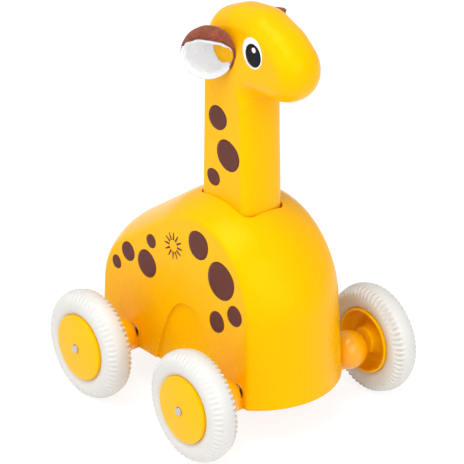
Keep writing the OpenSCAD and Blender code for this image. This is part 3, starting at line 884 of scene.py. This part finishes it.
def makeTyre(name, x, y, body, node):
    z, steps = wheelShape["height"], tyreShape["ribs"] * tyreShape["ribSteps"]
    bm = spinProfile([(r, y + w) for r, w in tyreSection()], (x, z), steps, True)
    low, high = radians(tyreShape["ribFrom"]), radians(tyreShape["ribTo"])
    level = Vector((1, 0))
    for v in bm.verts:
        spoke = Vector((v.co.x - x, v.co.z - z))
        out = (spoke.length - tyreShape["ringRadius"]) / tyreShape["radial"]
        side = (v.co.y - y) / tyreShape["half"]
        turn = level.angle(Vector((out, side)))
        if not low < turn < high:
            continue
        window = sin(pi * (turn - low) / (high - low)) ** tyreShape["ribEnds"]
        wave = 0.5 + 0.5 * cos(tyreShape["ribs"] * level.angle_signed(spoke))
        face = "outer" if (side > 0) == (y > 0) else "inner"
        push = tyreShape["ribHeight"][face] * window * (wave - tyreShape["ribSink"])
        spoke = spoke.normalized() * push * cos(turn)
        v.co += Vector((spoke.x, push * sin(turn) * (1 if side > 0 else -1), spoke.y))
    obj = looseObject(name, bm)
    finishPiece(obj, body, [looks["rubber"]], [node], sharp=50, even=False)


def hubProfile():
    # radius and place across the wheel, the body's side being below zero
    r, rim, half, web = (hubShape[k] for k in ("radius", "rim", "half", "web"))
    edge, soft, dome, count = (hubShape[k] for k in ("edge", "edgeRound", "dome", "domeSteps"))
    boss, bossEnd, flare, bore = (hubShape[k] for k in ("boss", "bossEnd", "bossFlare", "bore"))
    wide, narrow = hubShape["bossEdge"]
    inner, step = r - rim, bossEnd + hubShape["bossStep"]
    bowl = inner - boss - flare
    lip = rim / 2
    points = [(bore, bossEnd), (boss - wide, bossEnd), (boss - narrow, bossEnd + narrow)]
    points.append((boss, bossEnd + wide))
    points += [(boss + flare - flare * cos(radians(t)), step + (web - step) * sin(radians(t)))
               for t in range(0, 91, 10)]   # the boss spreads like a trumpet
    points += [(boss + flare + bowl * sin(radians(t)), web - bowl + bowl * cos(radians(t)))
               for t in range(10, 91, 10)]   # and the bowl turns up into the rim
    points += [(r - lip + lip * cos(radians(t)), lip - half - lip * sin(radians(t)))
               for t in range(180, -1, -20)]
    points += [(r - soft + soft * cos(radians(t)), edge - soft + soft * sin(radians(t)))
               for t in (0, 22, 45, 68)]
    face = r - soft
    sphere = (face ** 2 + dome ** 2) / (2 * dome)
    for k in range(count + 1):
        radius = face + (bore - face) * k / count
        points.append((radius, edge + dome - sphere + sqrt(sphere ** 2 - radius ** 2)))
    return points


def makeHub(name, x, y, way, body, node):
    across = [(r, y + w * way) for r, w in hubProfile()]
    bm = spinProfile(across, (x, wheelShape["height"]), hubShape["spinSteps"], True)
    finishPiece(looseObject(name, bm), body, [looks["hub"]], [node], sharp=40)


def makeAxle(name, x, body, node):
    radius, end, soft = (axleShape[k] for k in ("radius", "end", "round"))
    deep = soft * axleShape["roundDepth"]
    tip = [(radius - soft + soft * cos(radians(t)), end - deep + deep * sin(radians(t)))
           for t in (0, 30, 60, 80)]
    half = [(radius, 0.0), (radius, axleShape["straight"])] + tip + [(axleShape["endFlat"], end), (0.0, end)]
    points = [(r, -y) for r, y in reversed(half[1:])] + half
    bm = spinProfile(points, (x, wheelShape["height"]), axleShape["spinSteps"], False)
    finishPiece(looseObject(name, bm), body, [looks["steel"]], [node], sharp=40)


def makeWheels():
    for place, x in wheelShape["axles"].items():
        rides = place + "_wheels"
        makeAxle(place + "_axle_rod", x, rides, place + "_axle")
        for side, way in (("right", -1), ("left", 1)):
            y, end = way * wheelShape["middle"], f"{place}_{side}"
            makeTyre("tyre_ring_" + end, x, y, rides, "tyre_" + end)
            makeHub("hub_disc_" + end, x, y, way, rides, "hub_" + end)


makeWheels()


# ears

earShape = {
    "centre": (10.7, 17.2, 155.3),
    "facing": (0.7357, 0.5958, -0.3223),
    "layers": {"felt": 10.25, "lining": 9.13},
    "thick": 1.06,
    # by the angle from the peak towards the head, how far the edge stands out from the ball's middle
    "mouth": {
        "felt": ((-180, 1.8), (-135, 1.0), (-105, -1.0), (-76, -2.1), (-35, 1.7), (0, 3.4), (18, 3.6),
                 (40, 3.0), (75, 1.7), (100, 2.0), (125, 2.1), (150, 1.9), (180, 1.8)),
        "lining": ((-180, 3.6), (-135, 2.9), (-105, 1.0), (-76, -1.9), (-35, 1.9), (0, 3.6), (18, 3.8),
                   (40, 3.2), (75, 0.9), (100, -0.6), (125, 1.9), (150, 3.1), (180, 3.6)),
    },
    "peakWidth": 0.6,
    "peakBack": {"right": 0.0, "left": 3.2},
    "drop": {"right": 0.0, "left": 0.7},
    "flare": 0.9,
    "flareRun": 13.0,
    "headSide": 10.0,
    "ballFrom": 40,
    "ballRows": 40,
    "ballColumns": 96,
    "uneven": 0.14,
    "unevenScale": 0.4,
    "flat": {"felt": (0.031, 0.029), "lining": (0.029, 0.027)},
    "slots": {"felt": "brown_felt", "lining": "white_felt"},
    "looks": {"felt": "brownFelt", "lining": "whiteFelt"},
}


def alongMouth(layer, around):
    marks = earShape["mouth"][layer]
    k = next(i for i in range(1, len(marks)) if around <= marks[i][0])
    (low, first), (high, second) = marks[k - 1], marks[k]
    return first + (second - first) * eased(around, low, high)


def earPoint(spot, layer, side):
    # spot is a place on the unit ball, with its mouth's middle on +X and its peak on +Z
    around = degrees(atan2(spot.y, spot.z)) * (1 if side == "right" else -1)
    peak = eased(cos(radians(around)), 0.0, earShape["peakWidth"])
    radius, start = earShape["layers"][layer], earShape["ballFrom"]
    mouth = alongMouth(layer, max(-180.0, min(180.0, around))) - earShape["peakBack"][side] * peak
    edge = degrees(acos(mouth / radius))
    turn = edge + (degrees(acos(max(-1.0, min(1.0, spot.x)))) - start) / (180 - start) * (180 - edge)
    if layer == "lining":   # below and at the sides the white edge spreads over the brown one
        radius += earShape["flare"] * (1 - peak) * (1 - eased(turn - edge, 0, earShape["flareRun"]))
    flat = Vector((spot.y, spot.z)).normalized() if spot.yz.length > 1e-6 else Vector((0, 1))
    return Vector((cos(radians(turn)), sin(radians(turn)) * flat.x, sin(radians(turn)) * flat.y)) * radius


def makeEar(side, way):
    x, y, z = earShape["centre"]
    facing = Vector(earShape["facing"]) * Vector((1, way, 1))
    peak = (Vector((0, 0, 1)) - facing * facing.z).normalized()
    place = Matrix((facing, peak.cross(facing), peak)).transposed().to_4x4()
    place.translation = (x, y * way, z - earShape["drop"][side])
    start, rows = earShape["ballFrom"], earShape["ballRows"]
    turns = [radians(start + (180 - start) * k / rows) for k in range(rows + 1)]
    for layer in ("felt", "lining"):
        bm = bmesh.new()
        verts, edges = openChain(bm, [(cos(t), 0, sin(t)) for t in turns])
        bmesh.ops.spin(bm, geom=verts + edges, cent=(0, 0, 0), axis=(1, 0, 0), angle=tau,
                       steps=earShape["ballColumns"], use_merge=True)
        tidyNormals(bm)
        for v in bm.verts:   # the cup is never quite even
            v.co = earPoint(v.co, layer, side)
            ripple = noise.noise(v.co * earShape["unevenScale"] + Vector((3, way, 0)))
            v.co += v.co.normalized() * earShape["uneven"] * ripple
        bmesh.ops.transform(bm, matrix=place, verts=bm.verts)
        bmesh.ops.bisect_plane(bm, geom=bm.verts[:] + bm.edges[:] + bm.faces[:], clear_outer=True,
                               plane_co=(0, earShape["headSide"] * way, 0), plane_no=(0, -way, 0))
        bmesh.ops.recalc_face_normals(bm, faces=bm.faces)
        area = sum(f.calc_area() for f in bm.faces) * mm * mm
        obj = looseObject(f"ear_{layer}_cup_{side}", bm)
        finishPiece(obj, "neck", [looks[earShape["looks"][layer]]],
                    [f"ear_{layer}_{side}"], sharp=60, even=False)
        thick = obj.modifiers.new("felt", "SOLIDIFY")
        thick.thickness, thick.offset = earShape["thick"] * mm, 0.0


for earSide, earWay in (("right", -1), ("left", 1)):
    makeEar(earSide, earWay)


# return spring

springShape = {
    "x": 15.0, "radius": 6.5, "wire": 0.6, "turns": 10, "rings": 20, "sides": 8,
    "press": 22.0,   # how far the neck goes down
}


def makeSpring():
    # one round wire wound about the guide post
    low, high = (corner.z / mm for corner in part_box("return_spring"))
    radius, wire = springShape["radius"], springShape["wire"]
    steps = springShape["turns"] * springShape["rings"]
    rise = (high - low - 2 * wire) / steps
    bm = bmesh.new()
    bmesh.ops.create_circle(bm, segments=springShape["sides"], radius=wire)
    start = Matrix.Translation((springShape["x"] + radius, 0, low + wire))
    bmesh.ops.transform(bm, matrix=start @ Matrix.Rotation(pi / 2, 4, "X"), verts=bm.verts)
    bmesh.ops.spin(bm, geom=bm.verts[:] + bm.edges[:], cent=(springShape["x"], 0, 0), axis=(0, 0, 1),
                   dvec=(0, 0, rise), angle=tau * springShape["turns"], steps=steps)
    bmesh.ops.holes_fill(bm, edges=[e for e in bm.edges if e.is_boundary])
    bmesh.ops.recalc_face_normals(bm, faces=bm.faces)
    obj = looseObject("spring_wire", bm)
    finishPiece(obj, "toy_body", [looks["steel"]], ["return_spring"], sharp=60, even=False)
    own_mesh(obj)


makeSpring()


# carried-over nodes

carried = {
    "chassis": "mustard", "plunger": "white", "gearbox_plate_right": "white", "gearbox_plate_left": "white",
    "first_gear": "orange", "second_gear": "orange", "axle_gear": "orange", "pawl_hub": "white",
    "chassis_screws": "steel", "neck_screws": "steel", "gearbox_screws": "steel",
    "gear_pins": "steel",
}


def dressNodes():
    for node, look in carried.items():
        for obj in bpy.data.objects:
            if obj.name == node and obj.type == "MESH":
                obj.data.materials.clear()
                obj.data.materials.append(looks[look])
                print("dressed", node)


dressNodes()


# floor and light

studio = {
    "floor": 0.9,
    "floorRough": 0.9,
    "floorShine": 0.1,
    "floorSize": 3000,
    "floorDrop": 0.05,
    "backdrop": 1.16,
    "share": 0.72,
    "world": 0.52,
    "key": {"place": (0.1, -0.45, 1.35), "size": 0.9, "power": 12.0},
    "side": {"place": (-0.3, -1.4, 0.6), "size": 1.0, "power": 3.8},
    "fill": {"place": (1.35, -0.25, 0.7), "size": 1.2, "power": 9.0},
    "aim": (0, 0, 0.08),
}


def floorMaterial():
    # seen by the eye or in a reflection the floor is mostly plain white, so shadows stay soft
    material = bpy.data.materials.new("paleFloor")
    material.use_nodes = True
    nodes, links = material.node_tree.nodes, material.node_tree.links
    shader = nodes["Principled BSDF"]
    shader.inputs["Base Color"].default_value = (studio["floor"],) * 3 + (1,)
    shader.inputs["Roughness"].default_value = studio["floorRough"]
    shader.inputs["Specular IOR Level"].default_value = studio["floorShine"]
    white = nodes.new("ShaderNodeEmission")
    white.inputs["Strength"].default_value = studio["backdrop"]
    path = nodes.new("ShaderNodeLightPath")
    seen = path.outputs["Is Camera Ray"]
    for kind in ("Is Glossy Ray", "Is Transmission Ray"):
        either = nodes.new("ShaderNodeMath")
        either.operation = "MAXIMUM"
        links.new(seen, either.inputs[0])
        links.new(path.outputs[kind], either.inputs[1])
        seen = either.outputs[0]
    share = nodes.new("ShaderNodeMath")
    share.operation = "MULTIPLY"
    share.inputs[1].default_value = studio["share"]
    links.new(seen, share.inputs[0])
    mix = nodes.new("ShaderNodeMixShader")
    links.new(share.outputs[0], mix.inputs[0])
    links.new(shader.outputs[0], mix.inputs[1])
    links.new(white.outputs[0], mix.inputs[2])
    links.new(mix.outputs[0], nodes["Material Output"].inputs["Surface"])
    return material


def makeStudio():
    bm = bmesh.new()
    bmesh.ops.create_grid(bm, x_segments=2, y_segments=2, size=studio["floorSize"])
    bmesh.ops.translate(bm, vec=(0, 0, -studio["floorDrop"]), verts=bm.verts)
    floor = looseObject("floor", bm)
    floor.data.transform(Matrix.Scale(mm, 4))
    floor.data.materials.append(floorMaterial())
    world = bpy.data.worlds.new("studio")
    scene.world = world
    world.use_nodes = True
    paper = world.node_tree.nodes["Background"]
    paper.inputs["Color"].default_value = (1, 1, 1, 1)
    paper.inputs["Strength"].default_value = studio["world"]
    for name in ("key", "side", "fill"):
        lamp = studio[name]
        data = bpy.data.lights.new(name + "Lamp", "AREA")
        data.shape, data.size, data.energy = "SQUARE", lamp["size"], lamp["power"]
        obj = bpy.data.objects.new(name + "Lamp", data)
        obj.location = lamp["place"]
        towards = Vector(studio["aim"]) - obj.location
        obj.rotation_euler = towards.to_track_quat("-Z", "Y").to_euler()
        scene.collection.objects.link(obj)


makeStudio()
print("studio lit")
